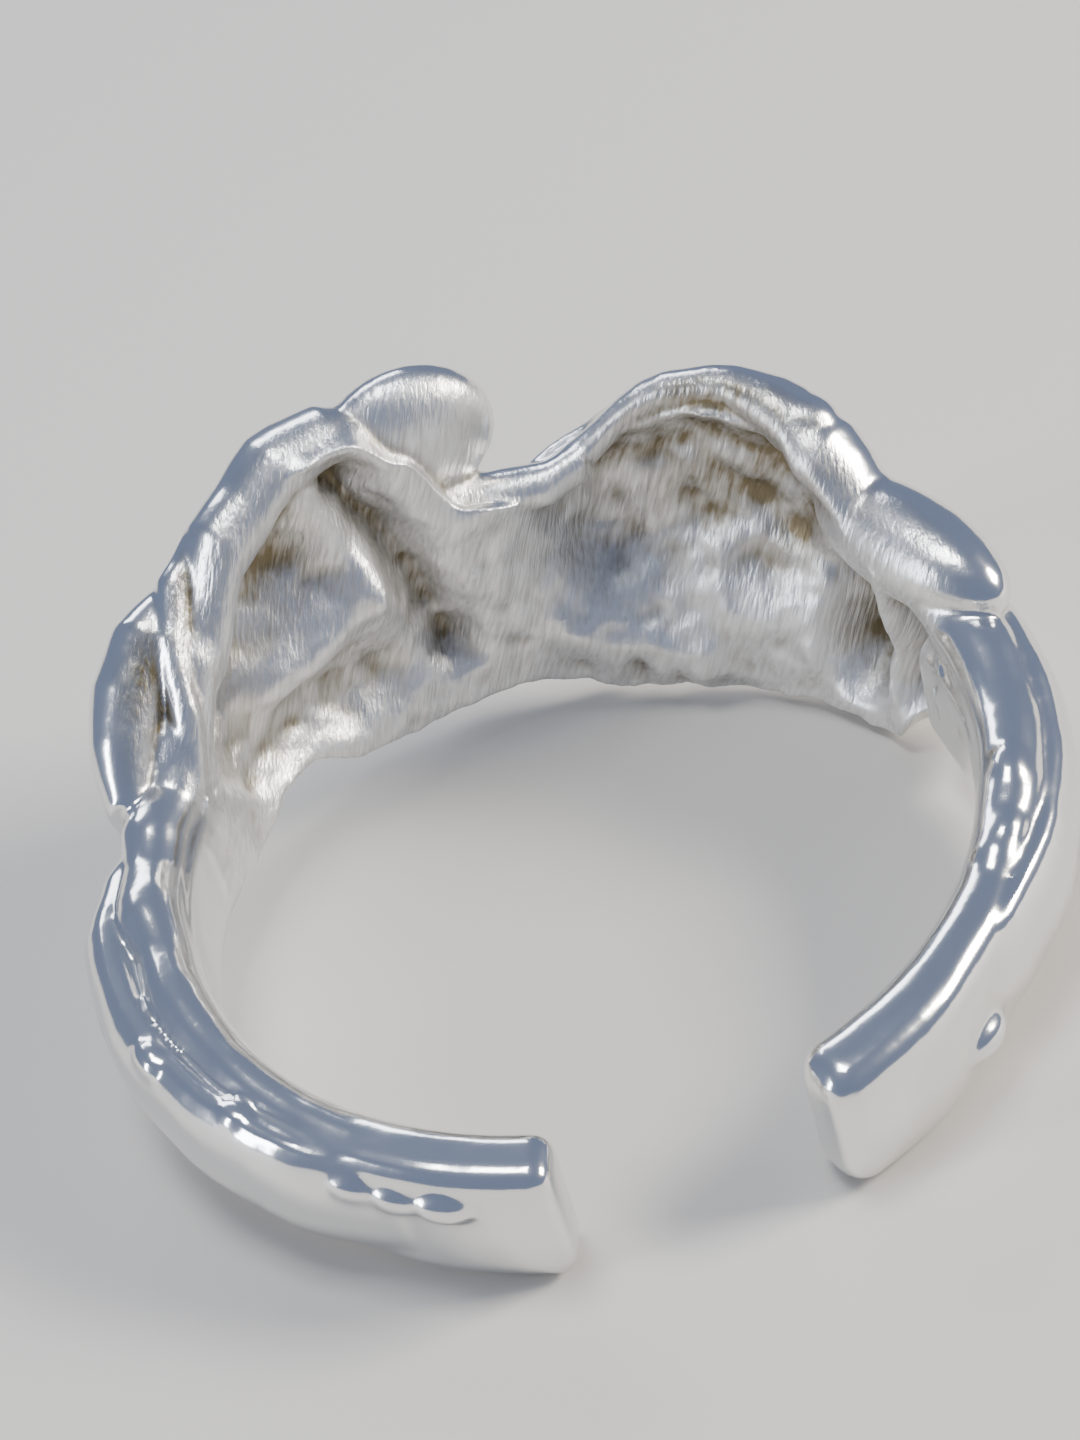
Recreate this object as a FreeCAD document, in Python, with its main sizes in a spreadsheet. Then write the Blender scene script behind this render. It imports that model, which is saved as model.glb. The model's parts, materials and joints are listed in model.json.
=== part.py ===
"""Open-ended silver finger ring with a hollow-backed, lobed front.

The ring is drawn round its finger axis: the front is on +Y and the gap in the band on -Y. An angle
runs round that axis from the middle of the front, positive towards -X, and height 0 is the underside
of the two shank arms. The last step leans the ring as it lies on a table, on the low edge of its
front and the two free ends. Each sub-part is one form that a goldsmith would shape and solder on.
"""
import FreeCAD, Part
import math
import os
import Sketcher

doc = FreeCAD.newDocument("open_ring")

# ---------------------------------------------------------------- driving dimensions (mm, degrees)
SHEET_VALUES = {
    "finger_radius": 8.75,      # inside of the band
    "wall": 0.95,               # pressed sheet of the front
    "rim_radius": 0.8,          # half the thickness of the rolled rims
    "shank_thickness": 1.6,
    "shank_height": 3.3,
    "shank_edge": 0.55,         # rounding of the outer long edges and of the free ends
    "comfort_edge": 0.25,       # rounding of the inner long edges
    "left_root": 61.5,          # angle where the left shank leaves the front
    "right_root": 81.5,
    "free_end": 163.0,          # angle of both free ends
    "flex_gap": 1.0,            # angle left open at each root, which is about 0.16 mm
    "strand_thickness": 0.95,   # how far an outer strand stands proud of its shank
    "strand_height": 2.6,
    "left_strand_span": 68.0,
    "right_strand_span": 50.0,
    "bead_radius": 0.42,
    "knob_radius": 0.95,
    "lean": 5.45,               # how far the front is raised when the ring lies on a table
}
sheet = doc.addObject("Spreadsheet::Sheet", "dims")
for row, (alias, value) in enumerate(SHEET_VALUES.items(), start=1):
    sheet.set("A%d" % row, alias)
    sheet.set("B%d" % row, str(value))
    sheet.setAlias("B%d" % row, alias)
doc.recompute()


def dim(alias):
    """A driving dimension, read back from the spreadsheet."""
    return float(sheet.get(alias))


RADIUS = dim("finger_radius")
WALL = dim("wall")
RIM = dim("rim_radius")
SHANK_OUTSIDE = RADIUS + dim("shank_thickness")
UP = FreeCAD.Vector(0, 0, 1)
LEAN = FreeCAD.Rotation(FreeCAD.Vector(1, 0, 0), dim("lean"))


# ---------------------------------------------------------------- helpers
def at(angle, radius, height):
    """The point at an angle round the finger axis, a radius and a height."""
    turn = math.radians(angle)
    return FreeCAD.Vector(-radius * math.sin(turn), radius * math.cos(turn), height)


def turned(angle):
    """The placement that turns what is drawn along +X to an angle round the finger axis."""
    return FreeCAD.Placement(FreeCAD.Vector(), FreeCAD.Rotation(UP, 90.0 + angle))


def between(stations, angle):
    """Smooth value at an angle from a few (angle, value) stations, which run one way."""
    for (a0, v0), (a1, v1) in zip(stations, stations[1:]):
        if min(a0, a1) <= angle <= max(a0, a1):
            share = (angle - a0) / (a1 - a0)
            share = share * share * (3.0 - 2.0 * share)
            return v0 + (v1 - v0) * share
    raise ValueError("no station at %g degrees" % angle)


def spread(first, last, count):
    """Evenly spaced values from first to last."""
    return [first + (last - first) * i / (count - 1.0) for i in range(count)]


def curve_through(points):
    spline = Part.BSplineCurve()
    spline.interpolate(points)
    return spline.toShape()


def largest(shape):
    """The largest solid of a shape, without the crumbs that a cut leaves."""
    return max(shape.Solids, key=lambda solid: solid.Volume)


def feature(label, shape):
    """A sub-part whose free-form shape is worked out in this file."""
    obj = doc.addObject("Part::Feature", label)
    obj.Shape = shape
    return obj


def bind(obj, **expressions):
    """Ties the named properties of an object to expressions on the sheet."""
    for name, expression in expressions.items():
        obj.setExpression(name, expression)


FINGER = Part.makeCylinder(RADIUS, 40.0, FreeCAD.Vector(0, 0, -20))


def past(angle, side):
    """A block on one side of the radial plane at an angle: side 1 is past it, side -1 short of it."""
    corner = FreeCAD.Vector(5.0, 0.0 if side > 0 else -6.0, -5.0)
    block = Part.makeBox(9.0, 6.0, 20.0, corner)
    block.Placement = turned(angle)
    return block


# ---------------------------------------------------------------- outline of the front
# Heights of the rim's middle and of the lower edge, as (angle, height) stations.
RIM_HEIGHT = [(61, 3.1), (46, 5.0), (32, 7.2), (20, 8.2), (11, 7.9), (4, 6.0), (-3, 5.0),
              (-14, 4.9), (-24, 6.3), (-36, 6.8), (-47, 6.1), (-57, 4.6), (-68, 4.3), (-82, 3.4)]
LOWER_EDGE = [(61, 0.0), (44, 0.4), (38, 0.3), (26, -0.5), (4, -0.6), (-14, -1.4),
              (-40, -1.6), (-60, -1.3), (-66, -1.1), (-72, 0.0), (-82, 0.0)]
LEFT_END = dim("left_root") - 0.5 * dim("flex_gap")
RIGHT_END = dim("right_root") - 0.5 * dim("flex_gap")
BRIDGE_LEFT = 4.0
BRIDGE_RIGHT = -14.0
SIDE_START = -56.0              # where the right side petal begins
RIGHT_SPLIT = 0.9               # height of the ridge between the two right petals
SECTIONS = 7                    # radial sections in each petal
SECTION_POINTS = 7              # points up each side of a section


def rim_height(angle):
    return between(RIM_HEIGHT, angle)


def lower_edge(angle):
    return between(LOWER_EDGE, angle)


def left_split(angle):
    """Height of the ridge between the two left petals."""
    return min(4.1, rim_height(angle) - 0.7)


def right_split(angle):
    return RIGHT_SPLIT


# ---------------------------------------------------------------- petals of pressed sheet
def radial_section(angle, low, high, base, depth, lean, wall):
    """Closed outline of the sheet in one radial plane. The sheet starts at the base radius,
    its middle is dished outwards by depth and its upper edge stands out by lean."""
    inner, outer = [], []
    for share in spread(0.0, 1.0, SECTION_POINTS):
        height = low + (high - low) * share
        radius = base + depth * math.sin(math.pi * share) + lean * share
        inner.append(at(angle, radius, height))
        outer.append(at(angle, radius + wall, height))
    outer.reverse()
    edges = [curve_through(inner), Part.makeLine(inner[-1], outer[0]),
             curve_through(outer), Part.makeLine(outer[-1], inner[0])]
    return Part.Wire(edges)


def petal(start, end, low, high, depth, lean=0.0):
    """A dished petal between two angles. low and high are functions of the angle."""
    wires = []
    for angle, share in zip(spread(start, end, SECTIONS), spread(0.0, 1.0, SECTIONS)):
        swell = math.sin(math.pi * share)
        wires.append(radial_section(angle, low(angle), high(angle), RADIUS,
                                    depth * swell, lean * swell, WALL))
    return Part.makeLoft(wires, True, False)


def leaf(stations, wall):
    """A free-standing leaf lofted through (angle, low, high, radius, depth) stations."""
    wires = [radial_section(angle, low, high, radius, depth, 0.0, wall)
             for angle, low, high, radius, depth in stations]
    return Part.makeLoft(wires, True, False)


# ---------------------------------------------------------------- round rods along the band
def tapered_rod(points, radii):
    """A round rod along a smooth line, with a radius given for its start, middle and end."""
    spine = Part.Wire([curve_through(points)])
    line = spine.Edges[0]
    rings = []
    for where, radius in zip(spread(line.FirstParameter, line.LastParameter, len(radii)), radii):
        rings.append(Part.Wire([Part.makeCircle(radius, line.valueAt(where), line.tangentAt(where))]))
    return spine.makePipeShell(rings, True, False)


def rim(start, end, radii, count):
    """A rolled rim along the upper edge of the front."""
    points = [at(angle, RADIUS + RIM, rim_height(angle)) for angle in spread(start, end, count)]
    return tapered_rod(points, radii).cut(FINGER)


# ---------------------------------------------------------------- the two shanks
def band_body(label):
    """An empty body and a sketch on its XZ plane, whose height is the finger axis."""
    body = doc.addObject("PartDesign::Body", label)
    plane = [f for f in body.Origin.OriginFeatures if f.Role == "XZ_Plane"][0]
    profile = body.newObject("Sketcher::SketchObject", label + "_profile")
    profile.AttachmentSupport = (plane, [""])
    profile.MapMode = "FlatFace"
    return body, profile


def rectangle(sketch, x_name, width_name, height_name):
    """A rectangle that stands on the sketch's X axis, with its sizes bound to the sheet."""
    corners = [(RADIUS, 0), (SHANK_OUTSIDE, 0), (SHANK_OUTSIDE, 3), (RADIUS, 3)]
    for (x0, y0), (x1, y1) in zip(corners, corners[1:] + corners[:1]):
        sketch.addGeometry(Part.LineSegment(FreeCAD.Vector(x0, y0, 0), FreeCAD.Vector(x1, y1, 0)))
    for side in range(4):
        sketch.addConstraint(Sketcher.Constraint("Coincident", side, 2, (side + 1) % 4, 1))
    for side, kind in enumerate(("Horizontal", "Vertical", "Horizontal", "Vertical")):
        sketch.addConstraint(Sketcher.Constraint(kind, side))
    sketch.addConstraint(Sketcher.Constraint("PointOnObject", 0, 1, -1))
    sizes = ((x_name, "DistanceX", (-1, 1, 0, 1)), (width_name, "DistanceX", (0, 1, 0, 2)),
             (height_name, "DistanceY", (1, 1, 1, 2)))
    for name, kind, ends in sizes:
        index = sketch.addConstraint(Sketcher.Constraint(kind, *ends, dim(name)))
        sketch.setExpression("Constraints[%d]" % index, "dims." + name)


def edges_where(shape, test):
    return ["Edge%d" % (i + 1) for i, edge in enumerate(shape.Edges) if test(edge)]


def is_long(edge, radius):
    """True for the two long edges of a shank on its inner or its outer side."""
    return isinstance(edge.Curve, Part.Circle) and abs(edge.Curve.Radius - radius) < 0.01


def shank(label, root_name, side):
    """One arm of the band: a rectangle turned round the finger axis, with rounded edges."""
    body, profile = band_body(label)
    rectangle(profile, "finger_radius", "shank_thickness", "shank_height")
    turn = body.newObject("PartDesign::Revolution", label + "_turn")
    turn.Profile = profile
    turn.ReferenceAxis = (profile, ["V_Axis"])
    bind(turn, Angle="dims.free_end - dims.%s - 0.5 * dims.flex_gap" % root_name)
    doc.recompute()
    end_angle = 0.0 if side < 0 else turn.Angle.Value
    end = FreeCAD.Vector(math.cos(math.radians(end_angle)), math.sin(math.radians(end_angle)), 0)
    inner = body.newObject("PartDesign::Fillet", label + "_comfort")
    inner.Base = (turn, edges_where(turn.Shape, lambda edge: is_long(edge, RADIUS)))
    bind(inner, Radius="dims.comfort_edge")
    doc.recompute()
    outer = body.newObject("PartDesign::Fillet", label + "_rounding")

    def is_outer_or_end(edge):
        if is_long(edge, SHANK_OUTSIDE):
            return True
        middle = edge.CenterOfMass
        along = end.x * middle.x + end.y * middle.y
        across = abs(end.x * middle.y - end.y * middle.x)
        upright = abs(edge.BoundBox.ZLength - edge.Length) < 0.01
        return upright and across < 0.01 and along > SHANK_OUTSIDE - 0.01
    outer.Base = (inner, edges_where(inner.Shape, is_outer_or_end))
    bind(outer, Radius="dims.shank_edge")
    doc.recompute()
    start = dim(root_name) + 0.5 * dim("flex_gap") if side > 0 else -dim("free_end")
    body.Placement = turned(start)
    return body


def strand(label, span_name, middle, low):
    """A crescent strand on the outside of a shank: two arcs that meet at both ends, padded."""
    body = doc.addObject("PartDesign::Body", label)
    plane = [f for f in body.Origin.OriginFeatures if f.Role == "XY_Plane"][0]
    outline = body.newObject("Sketcher::SketchObject", label + "_outline")
    outline.AttachmentSupport = (plane, [""])
    outline.MapMode = "FlatFace"
    half = math.radians(0.5 * dim(span_name))
    inner_radius = SHANK_OUTSIDE
    crown = inner_radius + dim("strand_thickness")
    centre = (crown ** 2 - inner_radius ** 2) / (2.0 * (crown - inner_radius * math.cos(half)))
    outer_radius = crown - centre
    spread_half = math.atan2(inner_radius * math.sin(half), inner_radius * math.cos(half) - centre)
    hub = FreeCAD.Vector(0, 0, 0)
    outline.addGeometry(Part.ArcOfCircle(Part.Circle(hub, UP, inner_radius), -half, half))
    outline.addGeometry(Part.ArcOfCircle(Part.Circle(FreeCAD.Vector(centre, 0, 0), UP, outer_radius),
                                         -spread_half, spread_half))
    outline.addConstraint(Sketcher.Constraint("Coincident", 0, 1, 1, 1))
    outline.addConstraint(Sketcher.Constraint("Coincident", 0, 2, 1, 2))
    outline.addConstraint(Sketcher.Constraint("Coincident", 0, 3, -1, 1))
    outline.addConstraint(Sketcher.Constraint("PointOnObject", 1, 3, -1))
    index = outline.addConstraint(Sketcher.Constraint("Radius", 0, inner_radius))
    outline.setExpression("Constraints[%d]" % index, "dims.finger_radius + dims.shank_thickness")
    outline.addConstraint(Sketcher.Constraint("Radius", 1, outer_radius))
    pad = body.newObject("PartDesign::Pad", label + "_pad")
    pad.Profile = outline
    bind(pad, Length="dims.strand_height")
    doc.recompute()
    rounding = body.newObject("PartDesign::Fillet", label + "_rounding")
    outside = edges_where(pad.Shape, lambda edge: is_long(edge, outer_radius))
    rounding.Base = (pad, outside)
    bind(rounding, Radius="0.5 * dims.strand_thickness")
    doc.recompute()
    body.Placement = FreeCAD.Placement(FreeCAD.Vector(0, 0, low), FreeCAD.Rotation()) * turned(middle)
    return body


left_shank = shank("left_shank", "left_root", 1)
right_shank = shank("right_shank", "right_root", -1)
left_strand = strand("left_outer_strand", "left_strand_span", 106.0, 0.5)
right_strand = strand("right_outer_strand", "right_strand_span", -112.0, 0.4)

# ---------------------------------------------------------------- rims, petals and leaves
left_rim_shape = rim(BRIDGE_LEFT, LEFT_END, (0.6, RIM, RIM), 9)
left_rim = feature("left_rim", left_rim_shape.cut(past(LEFT_END, 1)))
right_rim = feature("right_rim", rim(BRIDGE_RIGHT, SIDE_START, (0.55, RIM, RIM), 7))
twist_points = [at(38, 10.75, 5.9), at(45, 10.6, 5.8), at(51, 10.1, 5.2), at(57, 9.6, 4.3)]
left_twist = feature("left_rim_twist", largest(tapered_rod(twist_points, (0.3, 0.45, 0.3))
                                               .cut([FINGER, left_rim.Shape])))
saddle_points = [at(angle, RADIUS + 1.05, 5.15) for angle in spread(3.0, -13.0, 5)]
saddle_rim = feature("saddle_rim", largest(tapered_rod(saddle_points, (0.45, 0.55, 0.45))
                                           .cut([FINGER, left_rim.Shape, right_rim.Shape])))
rims = [left_rim.Shape, right_rim.Shape, saddle_rim.Shape, left_twist.Shape]

PETALS = {                      # label: start, end, lower height, upper height, dish, lean
    "centre_bridge": (BRIDGE_LEFT, BRIDGE_RIGHT, lower_edge, rim_height, 0.0, 0.0),
    "left_upper_petal": (LEFT_END, BRIDGE_LEFT, left_split, rim_height, 1.5, 0.5),
    "left_lower_petal": (LEFT_END, BRIDGE_LEFT, lower_edge, left_split, 1.0, 0.0),
    "right_upper_petal": (BRIDGE_RIGHT, SIDE_START, right_split, rim_height, 1.8, 0.3),
    "right_lower_petal": (BRIDGE_RIGHT, SIDE_START, lower_edge, right_split, 0.5, 0.0),
    "right_side_petal": (SIDE_START, -RIGHT_END, lower_edge, rim_height, 0.9, 0.0),
}
petals = {}
for label, settings in PETALS.items():
    petals[label] = feature(label, petal(*settings).cut(rims))

WING_WALL = 0.6
left_wing_shape = leaf([(39, 4.6, 6.4, 10.2, 0.1), (46, 3.4, 6.6, 10.55, 0.4),
                        (55, 2.3, 5.7, 10.7, 0.5), (62, 2.2, 4.6, 10.8, 0.35),
                        (68, 2.5, 3.6, 10.8, 0.15)], WING_WALL)
left_wing_cut = left_wing_shape.cut([left_rim.Shape, left_twist.Shape,
                                     petals["left_upper_petal"].Shape])
left_wing = feature("left_wing", largest(left_wing_cut))


def inner_strand(label, root_name, side, heights, last, neighbours):
    """A rod that leaves the front at a root and sinks into the top of its shank."""
    start = side * (dim(root_name) + 0.5 * dim("flex_gap"))
    points = [at(angle, RADIUS + RIM + 0.1, between(heights, angle))
              for angle in spread(start, last, 6)]
    rod = tapered_rod(points, (RIM, 0.75, 0.35)).cut([FINGER, past(start, -side)])
    return feature(label, largest(rod.cut([body.Shape for body in neighbours])))


left_inner_strand = inner_strand("left_inner_strand", "left_root", 1,
                                 [(62, 3.05), (80, 3.2), (104, 2.9)], 103.0,
                                 [left_shank, left_strand])
right_inner_strand = inner_strand("right_inner_strand", "right_root", -1,
                                  [(-82, 3.3), (-98, 3.1), (-116, 2.8)], -115.0, [right_shank])

right_leaf_shape = leaf([(-84.5, 0.9, 3.6, 10.37, 0.1), (-91, 0.7, 3.9, 10.37, 0.45),
                         (-98, 0.7, 3.7, 10.37, 0.5), (-106, 1.0, 3.2, 10.37, 0.1)], WING_WALL)
right_leaf = feature("right_outer_leaf",
                     right_leaf_shape.cut([right_shank.Shape, right_strand.Shape]))


# ---------------------------------------------------------------- domes, knob and beads
def dome(label, angle, radius, height, half_sizes, neighbours):
    """A cast dome: an ellipsoid, flush with the finger hole and with its neighbours."""
    solid = doc.addObject("Part::Ellipsoid", label + "_blank")
    solid.Radius1, solid.Radius2, solid.Radius3 = half_sizes[2], half_sizes[0], half_sizes[1]
    solid.Angle1, solid.Angle2, solid.Angle3 = -90.0, 90.0, 360.0
    solid.Placement = FreeCAD.Placement(at(angle, radius, height), FreeCAD.Rotation(UP, 90.0 + angle))
    doc.recompute()
    return feature(label, largest(solid.Shape.cut([FINGER] + neighbours)))


left_dome = dome("left_front_dome", 1.0, 10.6, 6.8, (1.05, 2.3, 1.8),
                 [left_rim.Shape, saddle_rim.Shape, petals["left_upper_petal"].Shape,
                  petals["centre_bridge"].Shape])
shoulder = dome("right_shoulder_dome", -67.0, 10.0, 4.1, (1.3, 2.1, 1.3),
                [right_rim.Shape, petals["right_side_petal"].Shape])
knob = doc.addObject("Part::Sphere", "right_rim_knob_blank")
bind(knob, Radius="dims.knob_radius")
knob.Placement = FreeCAD.Placement(at(-50.0, 10.1, 6.1), FreeCAD.Rotation())
doc.recompute()
knob_neighbours = [right_rim.Shape, petals["right_upper_petal"].Shape, shoulder.Shape]
right_knob = feature("right_rim_knob", largest(knob.Shape.cut(knob_neighbours)))


def bead_group(label, places, neighbours):
    """Small solder beads, half sunk in the metal round them, kept as one group of solids."""
    solids = []
    for angle, radius, height in places:
        bead = doc.addObject("Part::Sphere", label + "_blank")
        bind(bead, Radius="dims.bead_radius")
        bead.Placement = FreeCAD.Placement(at(angle, radius, height), FreeCAD.Rotation())
        doc.recompute()
        solids.extend(bead.Shape.cut(neighbours).Solids)
    return feature(label, Part.makeCompound(solids))


left_arm = [left_shank.Shape, left_strand.Shape, left_inner_strand.Shape]
right_arm = [right_shank.Shape, right_strand.Shape, right_leaf.Shape, right_inner_strand.Shape]
BEAD_RADIUS_ON_TOP = RADIUS + 0.6        # on the flat top of a shank, clear of its rounded edges
left_beads = bead_group("left_beads", [
    (112, BEAD_RADIUS_ON_TOP, 3.3), (124, BEAD_RADIUS_ON_TOP, 3.3),
    (143, SHANK_OUTSIDE, 2.2), (147, SHANK_OUTSIDE, 2.0), (155, SHANK_OUTSIDE, 1.9)], left_arm)
right_beads = bead_group("right_beads", [
    (angle, BEAD_RADIUS_ON_TOP, height)
    for angle, height in ((-94.0, 3.9), (-100.0, 3.8), (-107.0, 3.6), (-119.0, 3.3))], right_arm)

# ---------------------------------------------------------------- lay the ring down and export
sub_parts = [left_rim, right_rim, left_twist, saddle_rim] + list(petals.values()) + [
    left_wing, left_dome, right_knob, shoulder, left_shank, left_strand, left_inner_strand,
    left_beads, right_shank, right_strand, right_leaf, right_inner_strand, right_beads]
box = FreeCAD.BoundBox()
for obj in sub_parts:
    leaned = obj.Shape.copy()
    leaned.Placement = FreeCAD.Placement(FreeCAD.Vector(), LEAN).multiply(leaned.Placement)
    box.add(leaned.optimalBoundingBox())
origin_shift = FreeCAD.Vector(-box.Center.x, -box.Center.y, -box.ZMin)
LIE = FreeCAD.Placement(origin_shift, LEAN)
for obj in sub_parts:
    obj.Placement = LIE.multiply(obj.Placement)
doc.recompute()

for obj in doc.Objects:
    if "Invalid" in obj.State or "Error" in obj.State:
        raise RuntimeError("%s failed: %s" % (obj.Label, obj.State))
for obj in sub_parts:
    if obj.Shape.isNull() or not obj.Shape.isValid() or not obj.Shape.Solids:
        raise RuntimeError("%s has no valid solid" % obj.Label)

os.makedirs("parts", exist_ok=True)
for obj in sub_parts:
    obj.Shape.exportStep("parts/%s.step" % obj.Label)
    print(obj.Label, len(obj.Shape.Solids), "solid(s)", round(obj.Shape.Volume, 2), "mm3")
print("finger axis through", [round(v, 4) for v in LIE.multVec(FreeCAD.Vector(0, 0, 0))],
      "direction", [round(v, 5) for v in LEAN.multVec(UP)], "box", box)
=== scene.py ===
# %% [markdown]
# # An open silver ring, modelled like a casting
# The ring lies on its edge: a lobed front stands at the back and two plain ends leave a gap in front.
# Its metal looks poured: every edge is soft, and strands, petals and beads melt into each other.
# So each piece is first shaped roughly by itself, then all are melted into one casting with a voxel
# remesh, and the casting is parted again into the pieces that the frame names.

# %% Load the frame
import json
import math

import bpy
from mathutils import Matrix, Vector

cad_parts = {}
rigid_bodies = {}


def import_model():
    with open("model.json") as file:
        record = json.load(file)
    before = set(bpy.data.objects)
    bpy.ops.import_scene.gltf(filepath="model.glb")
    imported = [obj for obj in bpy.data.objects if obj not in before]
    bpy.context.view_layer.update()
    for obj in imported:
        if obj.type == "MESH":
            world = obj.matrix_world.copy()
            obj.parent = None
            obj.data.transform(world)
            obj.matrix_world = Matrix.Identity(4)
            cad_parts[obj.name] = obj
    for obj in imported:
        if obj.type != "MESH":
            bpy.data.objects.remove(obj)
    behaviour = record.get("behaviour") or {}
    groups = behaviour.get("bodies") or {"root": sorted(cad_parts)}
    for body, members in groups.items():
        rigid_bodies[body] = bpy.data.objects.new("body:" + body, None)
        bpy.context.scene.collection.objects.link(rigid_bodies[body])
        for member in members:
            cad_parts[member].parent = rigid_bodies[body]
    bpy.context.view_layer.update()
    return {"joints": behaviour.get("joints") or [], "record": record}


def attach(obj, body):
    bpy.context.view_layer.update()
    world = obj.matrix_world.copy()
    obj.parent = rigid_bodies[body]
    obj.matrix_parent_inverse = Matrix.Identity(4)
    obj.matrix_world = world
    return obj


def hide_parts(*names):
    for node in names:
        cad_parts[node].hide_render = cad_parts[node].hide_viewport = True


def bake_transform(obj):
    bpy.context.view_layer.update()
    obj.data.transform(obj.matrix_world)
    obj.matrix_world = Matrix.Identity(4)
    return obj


bpy.ops.object.select_all(action="SELECT")
bpy.ops.object.delete()
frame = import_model()

# %% [markdown]
# The shapes are worked in millimetres round the finger axis, because operators that merge and remesh
# lose precision on a ring that is only 0.02 units across. The bore in the record says where that axis
# is in the frame, so one matrix lays every finished piece down in its place.

# %% The finger axis
MM = 0.001
bore = next(mount for mount in frame["record"]["mounts"] if mount["name"] == "finger_bore")
FINGER_RADIUS = bore["dims"]["r_mm"]
SHANK_HEIGHT = 3.3
AXIS = Vector(bore["axis"]).normalized()
LAY_DOWN = (Matrix.Translation(Vector(bore["pos_m"]))
            @ Vector((0, 0, 1)).rotation_difference(AXIS).to_matrix().to_4x4()
            @ Matrix.Translation(Vector((0, 0, -0.5 * SHANK_HEIGHT * MM))) @ Matrix.Scale(MM, 4))


def around(angle, radius, height):
    """The point at an angle round the finger, counted from the front towards -X, in mm."""
    turn = math.radians(angle)
    return Vector((-radius * math.sin(turn), radius * math.cos(turn), height))


def smooth_between(stations, angle):
    """The values at an angle, eased between the two stations beside it."""
    for before, after in zip(stations, stations[1:]):
        if min(before[0], after[0]) <= angle <= max(before[0], after[0]):
            share = (angle - before[0]) / (after[0] - before[0])
            share = share * share * (3 - 2 * share)
            return [b + (a - b) * share for b, a in zip(before[1:], after[1:])]
    nearest = min(stations, key=lambda station: abs(station[0] - angle))
    return list(nearest[1:])


def deselect_all():
    """Leaves edit mode, if need be, and selects nothing."""
    if bpy.context.object and bpy.context.object.mode != "OBJECT":
        bpy.ops.object.mode_set(mode="OBJECT")
    bpy.ops.object.select_all(action="DESELECT")


def pick(*objs):
    """Selects these objects and no others, with the last one active."""
    deselect_all()
    for obj in objs:
        obj.select_set(True)
    bpy.context.view_layer.objects.active = objs[-1]


def apply_modifier(obj, kind, **settings):
    """Adds one modifier, sets it and applies it at once."""
    pick(obj)
    modifier = obj.modifiers.new(kind.lower(), kind)
    for name, value in settings.items():
        setattr(modifier, name, value)
    bpy.ops.object.modifier_apply(modifier=modifier.name)


# %% [markdown]
# ## A rod that follows the band
# Rims, strands and shanks are all bars that run round the finger. A bar starts as one flat ring of
# vertices and is extruded from station to station, moved, turned and scaled each time. A curve with
# a bevel would be quicker, but its section can't be wide and low in one place and round in another.

# %% Sweep
STEP = 3.0                      # degrees between two sections
TURN_SIGN = -1                  # with no window, rotate turns the other way


def bar(name, stations, sides, grow=0.0):
    """A bar through (angle, radius, height, half width, half height) stations. grow thickens it."""
    first, last = stations[0][0], stations[-1][0]
    count = max(2, int(abs(last - first) / STEP) + 1)
    angles = [first + (last - first) * i / (count - 1) for i in range(count)]
    radius, height, half_width, half_height = smooth_between(stations, first)
    centre = around(first, radius, height)
    deselect_all()
    # The ring of vertices lies in the radial plane of the first station.
    bpy.ops.mesh.primitive_circle_add(vertices=sides, radius=1, fill_type="NGON", location=centre,
                                      rotation=(math.pi / 2, 0, math.radians(first + 90)))
    obj = bpy.context.object
    obj.name = name
    square = math.sqrt(2) if sides == 4 else 1.0
    if sides == 4:
        obj.rotation_euler.rotate_axis("Z", math.pi / 4)
    bpy.context.view_layer.update()
    bpy.ops.object.transform_apply(location=True, rotation=True, scale=True)
    radial = around(first, 1, 0)
    for vertex in obj.data.vertices:
        offset = vertex.co - centre
        along = offset.dot(radial)
        vertex.co = (centre + radial * along * square * (half_width + grow)
                     + Vector((0, 0, offset.z * square * (half_height + grow))))
    bpy.ops.object.mode_set(mode="EDIT")
    bpy.ops.mesh.select_all(action="SELECT")
    before = first
    for angle in angles[1:]:
        old_width, old_height = half_width + grow, half_height + grow
        old_centre = centre
        radius, height, half_width, half_height = smooth_between(stations, angle)
        centre = around(angle, radius, height)
        bpy.ops.mesh.extrude_region_move(TRANSFORM_OT_translate={"value": centre - old_centre})
        bpy.ops.transform.rotate(value=TURN_SIGN * math.radians(angle - before), orient_axis="Z",
                                 center_override=centre)
        sizes = ((half_width + grow) / old_width, (half_height + grow) / old_height)
        frame_here = Matrix((around(angle, 1, 0), around(angle + 90, 1, 0), (0, 0, 1))).transposed()
        bpy.ops.transform.resize(value=(sizes[0], 1, sizes[1]), orient_matrix=frame_here,
                                 orient_type="GLOBAL", orient_matrix_type="GLOBAL",
                                 center_override=centre)
        before = angle
    bpy.ops.mesh.select_all(action="SELECT")
    bpy.ops.mesh.normals_make_consistent(inside=False)
    bpy.ops.object.mode_set(mode="OBJECT")
    return obj


# %% [markdown]
# ## The front, as one pressed sheet
# The front is a thin sheet, dished from inside into four hollows. Flat work is easier than round work,
# so the sheet is a plain grid in unrolled space: x is the way round the finger, y the way outwards and
# z the height. Hollows, folds and ridges are pulls with proportional editing along short paths, as a
# silversmith pushes a punch. Then Solidify gives the metal its thickness and the sheet is rolled up.

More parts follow.
